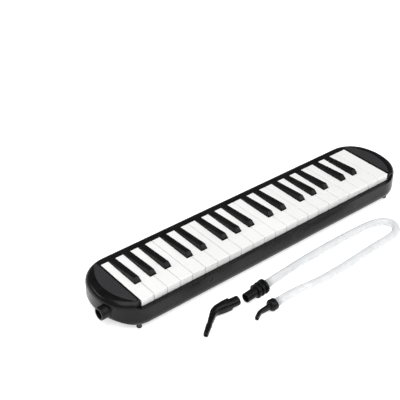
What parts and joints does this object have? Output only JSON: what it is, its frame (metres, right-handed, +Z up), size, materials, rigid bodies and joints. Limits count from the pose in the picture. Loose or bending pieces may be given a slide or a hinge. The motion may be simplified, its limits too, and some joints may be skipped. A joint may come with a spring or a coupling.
{
  "type": "melodica",
  "caption": "Mouth-blown free-reed keyboard instrument with sprung keys, a drain button, a short mouthpiece and a flexible blowing hose.",
  "frame": {"origin": "centre of the mouth of the mouthpiece socket, on the left-hand end", "axes": "+X along the keyboard from low to high notes, +Y from the player towards the rear, +Z up"},
  "size_m": [0.521, 0.1856, 0.0502],
  "materials": {
    "case_plastic": "moulded black ABS, glossy with fine handling scratches",
    "plate_plastic": "satin dark grey inlay, fine grain",
    "white_key_plastic": "glossy white",
    "black_key_plastic": "glossy black with satin sides",
    "foot_rubber": "soft black rubber",
    "screw_steel": "zinc-plated",
    "strap_webbing": "woven black webbing",
    "fitting_plastic": "moulded black ABS",
    "inner_plastic": "plain moulded grey plastic",
    "gasket_rubber": "dark soft gasket",
    "reed_brass": "rolled brass",
    "rod_steel": "drawn steel",
    "spring_steel": "spring wire",
    "felt": "red felt",
    "hose_tube": "milky, slightly translucent soft tube"
  },
  "bodies": {
    "case": {"upper_case": "case_plastic", "lower_case": "case_plastic", "end_plates": "plate_plastic", "feet": "foot_rubber", "case_screws": "screw_steel", "hand_strap": "strap_webbing", "blow_socket": "fitting_plastic", "air_chamber": "inner_plastic", "chamber_gasket": "gasket_rubber", "valve_block": "inner_plastic", "reed_plates": "reed_brass", "reeds": "reed_brass", "reed_rivets": "reed_brass", "key_rod": "rod_steel", "key_comb": "inner_plastic", "key_springs": "spring_steel", "key_stop_felt": "felt", "drain_spring": "spring_steel"},
    "white_key_f3": {"white_key_f3": "white_key_plastic"},
    "black_key_fs3": {"black_key_fs3": "black_key_plastic"},
    "white_key_g3": {"white_key_g3": "white_key_plastic"},
    "black_key_gs3": {"black_key_gs3": "black_key_plastic"},
    "white_key_a3": {"white_key_a3": "white_key_plastic"},
    "black_key_as3": {"black_key_as3": "black_key_plastic"},
    "white_key_b3": {"white_key_b3": "white_key_plastic"},
    "white_key_c4": {"white_key_c4": "white_key_plastic"},
    "black_key_cs4": {"black_key_cs4": "black_key_plastic"},
    "white_key_d4": {"white_key_d4": "white_key_plastic"},
    "black_key_ds4": {"black_key_ds4": "black_key_plastic"},
    "white_key_e4": {"white_key_e4": "white_key_plastic"},
    "white_key_f4": {"white_key_f4": "white_key_plastic"},
    "black_key_fs4": {"black_key_fs4": "black_key_plastic"},
    "white_key_g4": {"white_key_g4": "white_key_plastic"},
    "black_key_gs4": {"black_key_gs4": "black_key_plastic"},
    "white_key_a4": {"white_key_a4": "white_key_plastic"},
    "black_key_as4": {"black_key_as4": "black_key_plastic"},
    "white_key_b4": {"white_key_b4": "white_key_plastic"},
    "white_key_c5": {"white_key_c5": "white_key_plastic"},
    "black_key_cs5": {"black_key_cs5": "black_key_plastic"},
    "white_key_d5": {"white_key_d5": "white_key_plastic"},
    "black_key_ds5": {"black_key_ds5": "black_key_plastic"},
    "white_key_e5": {"white_key_e5": "white_key_plastic"},
    "white_key_f5": {"white_key_f5": "white_key_plastic"},
    "black_key_fs5": {"black_key_fs5": "black_key_plastic"},
    "white_key_g5": {"white_key_g5": "white_key_plastic"},
    "black_key_gs5": {"black_key_gs5": "black_key_plastic"},
    "white_key_a5": {"white_key_a5": "white_key_plastic"},
    "black_key_as5": {"black_key_as5": "black_key_plastic"},
    "white_key_b5": {"white_key_b5": "white_key_plastic"},
    "white_key_c6": {"white_key_c6": "white_key_plastic"},
    "black_key_cs6": {"black_key_cs6": "black_key_plastic"},
    "white_key_d6": {"white_key_d6": "white_key_plastic"},
    "black_key_ds6": {"black_key_ds6": "black_key_plastic"},
    "white_key_e6": {"white_key_e6": "white_key_plastic"},
    "white_key_f6": {"white_key_f6": "white_key_plastic"},
    "drain_button": {"drain_button": "fitting_plastic"},
    "mouthpiece": {"mouthpiece": "fitting_plastic"},
    "hose_set": {"hose": "hose_tube", "hose_connector": "fitting_plastic", "hose_tip": "fitting_plastic"}
  },
  "joints": [
    {"name": "white_key_f3_press", "type": "hinge", "parent": "case", "child": "white_key_f3", "pos_m": [0.0489, 0.0379, 0.011], "axis": [1, 0, 0], "range_deg": [0, 4], "stiffness_Nm_per_rad": 0.3, "springref_deg": -8.59, "deforming": ["key_springs"]},
    {"name": "black_key_fs3_press", "type": "hinge", "parent": "case", "child": "black_key_fs3", "pos_m": [0.0598, 0.0379, 0.011], "axis": [1, 0, 0], "range_deg": [0, 5.5], "stiffness_Nm_per_rad": 0.3, "springref_deg": -8.59, "deforming": ["key_springs"]},
    {"name": "white_key_g3_press", "type": "hinge", "parent": "case", "child": "white_key_g3", "pos_m": [0.0714, 0.0379, 0.011], "axis": [1, 0, 0], "range_deg": [0, 4], "stiffness_Nm_per_rad": 0.3, "springref_deg": -8.59, "deforming": ["key_springs"]},
    {"name": "black_key_gs3_press", "type": "hinge", "parent": "case", "child": "black_key_gs3", "pos_m": [0.083, 0.0379, 0.011], "axis": [1, 0, 0], "range_deg": [0, 5.5], "stiffness_Nm_per_rad": 0.3, "springref_deg": -8.59, "deforming": ["key_springs"]},
    {"name": "white_key_a3_press", "type": "hinge", "parent": "case", "child": "white_key_a3", "pos_m": [0.0946, 0.0379, 0.011], "axis": [1, 0, 0], "range_deg": [0, 4], "stiffness_Nm_per_rad": 0.3, "springref_deg": -8.59, "deforming": ["key_springs"]},
    {"name": "black_key_as3_press", "type": "hinge", "parent": "case", "child": "black_key_as3", "pos_m": [0.1062, 0.0379, 0.011], "axis": [1, 0, 0], "range_deg": [0, 5.5], "stiffness_Nm_per_rad": 0.3, "springref_deg": -8.59, "deforming": ["key_springs"]},
    {"name": "white_key_b3_press", "type": "hinge", "parent": "case", "child": "white_key_b3", "pos_m": [0.1171, 0.0379, 0.011], "axis": [1, 0, 0], "range_deg": [0, 4], "stiffness_Nm_per_rad": 0.3, "springref_deg": -8.59, "deforming": ["key_springs"]},
    {"name": "white_key_c4_press", "type": "hinge", "parent": "case", "child": "white_key_c4", "pos_m": [0.1296, 0.0379, 0.011], "axis": [1, 0, 0], "range_deg": [0, 4], "stiffness_Nm_per_rad": 0.3, "springref_deg": -8.59, "deforming": ["key_springs"]},
    {"name": "black_key_cs4_press", "type": "hinge", "parent": "case", "child": "black_key_cs4", "pos_m": [0.1412, 0.0379, 0.011], "axis": [1, 0, 0], "range_deg": [0, 5.5], "stiffness_Nm_per_rad": 0.3, "springref_deg": -8.59, "deforming": ["key_springs"]},
    {"name": "white_key_d4_press", "type": "hinge", "parent": "case", "child": "white_key_d4", "pos_m": [0.153, 0.0379, 0.011], "axis": [1, 0, 0], "range_deg": [0, 4], "stiffness_Nm_per_rad": 0.3, "springref_deg": -8.59, "deforming": ["key_springs"]},
    {"name": "black_key_ds4_press", "type": "hinge", "parent": "case", "child": "black_key_ds4", "pos_m": [0.1648, 0.0379, 0.011], "axis": [1, 0, 0], "range_deg": [0, 5.5], "stiffness_Nm_per_rad": 0.3, "springref_deg": -8.59, "deforming": ["key_springs"]},
    {"name": "white_key_e4_press", "type": "hinge", "parent": "case", "child": "white_key_e4", "pos_m": [0.1764, 0.0379, 0.011], "axis": [1, 0, 0], "range_deg": [0, 4], "stiffness_Nm_per_rad": 0.3, "springref_deg": -8.59, "deforming": ["key_springs"]},
    {"name": "white_key_f4_press", "type": "hinge", "parent": "case", "child": "white_key_f4", "pos_m": [0.1889, 0.0379, 0.011], "axis": [1, 0, 0], "range_deg": [0, 4], "stiffness_Nm_per_rad": 0.3, "springref_deg": -8.59, "deforming": ["key_springs"]},
    {"name": "black_key_fs4_press", "type": "hinge", "parent": "case", "child": "black_key_fs4", "pos_m": [0.1998, 0.0379, 0.011], "axis": [1, 0, 0], "range_deg": [0, 5.5], "stiffness_Nm_per_rad": 0.3, "springref_deg": -8.59, "deforming": ["key_springs"]},
    {"name": "white_key_g4_press", "type": "hinge", "parent": "case", "child": "white_key_g4", "pos_m": [0.2114, 0.0379, 0.011], "axis": [1, 0, 0], "range_deg": [0, 4], "stiffness_Nm_per_rad": 0.3, "springref_deg": -8.59, "deforming": ["key_springs"]},
    {"name": "black_key_gs4_press", "type": "hinge", "parent": "case", "child": "black_key_gs4", "pos_m": [0.223, 0.0379, 0.011], "axis": [1, 0, 0], "range_deg": [0, 5.5], "stiffness_Nm_per_rad": 0.3, "springref_deg": -8.59, "deforming": ["key_springs"]},
    {"name": "white_key_a4_press", "type": "hinge", "parent": "case", "child": "white_key_a4", "pos_m": [0.2346, 0.0379, 0.011], "axis": [1, 0, 0], "range_deg": [0, 4], "stiffness_Nm_per_rad": 0.3, "springref_deg": -8.59, "deforming": ["key_springs"]},
    {"name": "black_key_as4_press", "type": "hinge", "parent": "case", "child": "black_key_as4", "pos_m": [0.2462, 0.0379, 0.011], "axis": [1, 0, 0], "range_deg": [0, 5.5], "stiffness_Nm_per_rad": 0.3, "springref_deg": -8.59, "deforming": ["key_springs"]},
    {"name": "white_key_b4_press", "type": "hinge", "parent": "case", "child": "white_key_b4", "pos_m": [0.2571, 0.0379, 0.011], "axis": [1, 0, 0], "range_deg": [0, 4], "stiffness_Nm_per_rad": 0.3, "springref_deg": -8.59, "deforming": ["key_springs"]},
    {"name": "white_key_c5_press", "type": "hinge", "parent": "case", "child": "white_key_c5", "pos_m": [0.2696, 0.0379, 0.011], "axis": [1, 0, 0], "range_deg": [0, 4], "stiffness_Nm_per_rad": 0.3, "springref_deg": -8.59, "deforming": ["key_springs"]},
    {"name": "black_key_cs5_press", "type": "hinge", "parent": "case", "child": "black_key_cs5", "pos_m": [0.2812, 0.0379, 0.011], "axis": [1, 0, 0], "range_deg": [0, 5.5], "stiffness_Nm_per_rad": 0.3, "springref_deg": -8.59, "deforming": ["key_springs"]},
    {"name": "white_key_d5_press", "type": "hinge", "parent": "case", "child": "white_key_d5", "pos_m": [0.293, 0.0379, 0.011], "axis": [1, 0, 0], "range_deg": [0, 4], "stiffness_Nm_per_rad": 0.3, "springref_deg": -8.59, "deforming": ["key_springs"]},
    {"name": "black_key_ds5_press", "type": "hinge", "parent": "case", "child": "black_key_ds5", "pos_m": [0.3048, 0.0379, 0.011], "axis": [1, 0, 0], "range_deg": [0, 5.5], "stiffness_Nm_per_rad": 0.3, "springref_deg": -8.59, "deforming": ["key_springs"]},
    {"name": "white_key_e5_press", "type": "hinge", "parent": "case", "child": "white_key_e5", "pos_m": [0.3164, 0.0379, 0.011], "axis": [1, 0, 0], "range_deg": [0, 4], "stiffness_Nm_per_rad": 0.3, "springref_deg": -8.59, "deforming": ["key_springs"]},
    {"name": "white_key_f5_press", "type": "hinge", "parent": "case", "child": "white_key_f5", "pos_m": [0.3289, 0.0379, 0.011], "axis": [1, 0, 0], "range_deg": [0, 4], "stiffness_Nm_per_rad": 0.3, "springref_deg": -8.59, "deforming": ["key_springs"]},
    {"name": "black_key_fs5_press", "type": "hinge", "parent": "case", "child": "black_key_fs5", "pos_m": [0.3398, 0.0379, 0.011], "axis": [1, 0, 0], "range_deg": [0, 5.5], "stiffness_Nm_per_rad": 0.3, "springref_deg": -8.59, "deforming": ["key_springs"]},
    {"name": "white_key_g5_press", "type": "hinge", "parent": "case", "child": "white_key_g5", "pos_m": [0.3514, 0.0379, 0.011], "axis": [1, 0, 0], "range_deg": [0, 4], "stiffness_Nm_per_rad": 0.3, "springref_deg": -8.59, "deforming": ["key_springs"]},
    {"name": "black_key_gs5_press", "type": "hinge", "parent": "case", "child": "black_key_gs5", "pos_m": [0.363, 0.0379, 0.011], "axis": [1, 0, 0], "range_deg": [0, 5.5], "stiffness_Nm_per_rad": 0.3, "springref_deg": -8.59, "deforming": ["key_springs"]},
    {"name": "white_key_a5_press", "type": "hinge", "parent": "case", "child": "white_key_a5", "pos_m": [0.3746, 0.0379, 0.011], "axis": [1, 0, 0], "range_deg": [0, 4], "stiffness_Nm_per_rad": 0.3, "springref_deg": -8.59, "deforming": ["key_springs"]},
    {"name": "black_key_as5_press", "type": "hinge", "parent": "case", "child": "black_key_as5", "pos_m": [0.3862, 0.0379, 0.011], "axis": [1, 0, 0], "range_deg": [0, 5.5], "stiffness_Nm_per_rad": 0.3, "springref_deg": -8.59, "deforming": ["key_springs"]},
    {"name": "white_key_b5_press", "type": "hinge", "parent": "case", "child": "white_key_b5", "pos_m": [0.3971, 0.0379, 0.011], "axis": [1, 0, 0], "range_deg": [0, 4], "stiffness_Nm_per_rad": 0.3, "springref_deg": -8.59, "deforming": ["key_springs"]},
    {"name": "white_key_c6_press", "type": "hinge", "parent": "case", "child": "white_key_c6", "pos_m": [0.4096, 0.0379, 0.011], "axis": [1, 0, 0], "range_deg": [0, 4], "stiffness_Nm_per_rad": 0.3, "springref_deg": -8.59, "deforming": ["key_springs"]},
    {"name": "black_key_cs6_press", "type": "hinge", "parent": "case", "child": "black_key_cs6", "pos_m": [0.4212, 0.0379, 0.011], "axis": [1, 0, 0], "range_deg": [0, 5.5], "stiffness_Nm_per_rad": 0.3, "springref_deg": -8.59, "deforming": ["key_springs"]},
    {"name": "white_key_d6_press", "type": "hinge", "parent": "case", "child": "white_key_d6", "pos_m": [0.433, 0.0379, 0.011], "axis": [1, 0, 0], "range_deg": [0, 4], "stiffness_Nm_per_rad": 0.3, "springref_deg": -8.59, "deforming": ["key_springs"]},
    {"name": "black_key_ds6_press", "type": "hinge", "parent": "case", "child": "black_key_ds6", "pos_m": [0.4448, 0.0379, 0.011], "axis": [1, 0, 0], "range_deg": [0, 5.5], "stiffness_Nm_per_rad": 0.3, "springref_deg": -8.59, "deforming": ["key_springs"]},
    {"name": "white_key_e6_press", "type": "hinge", "parent": "case", "child": "white_key_e6", "pos_m": [0.4564, 0.0379, 0.011], "axis": [1, 0, 0], "range_deg": [0, 4], "stiffness_Nm_per_rad": 0.3, "springref_deg": -8.59, "deforming": ["key_springs"]},
    {"name": "white_key_f6_press", "type": "hinge", "parent": "case", "child": "white_key_f6", "pos_m": [0.473, 0.0379, 0.011], "axis": [1, 0, 0], "range_deg": [0, 4], "stiffness_Nm_per_rad": 0.3, "springref_deg": -8.59, "deforming": ["key_springs"]},
    {"name": "drain_button_push", "type": "slide", "parent": "case", "child": "drain_button", "axis": [-1, 0, 0], "range_m": [0, 0.0025], "stiffness_N_per_m": 300, "springref_m": -0.004, "deforming": ["drain_spring"]},
    {"name": "mouthpiece_lift", "type": "slide", "parent": "case", "child": "mouthpiece", "axis": [0, 0, 1], "range_m": [0, 0.12]},
    {"name": "hose_lift", "type": "slide", "parent": "case", "child": "hose_set", "axis": [0, 0, 1], "range_m": [0, 0.12]}
  ]
}
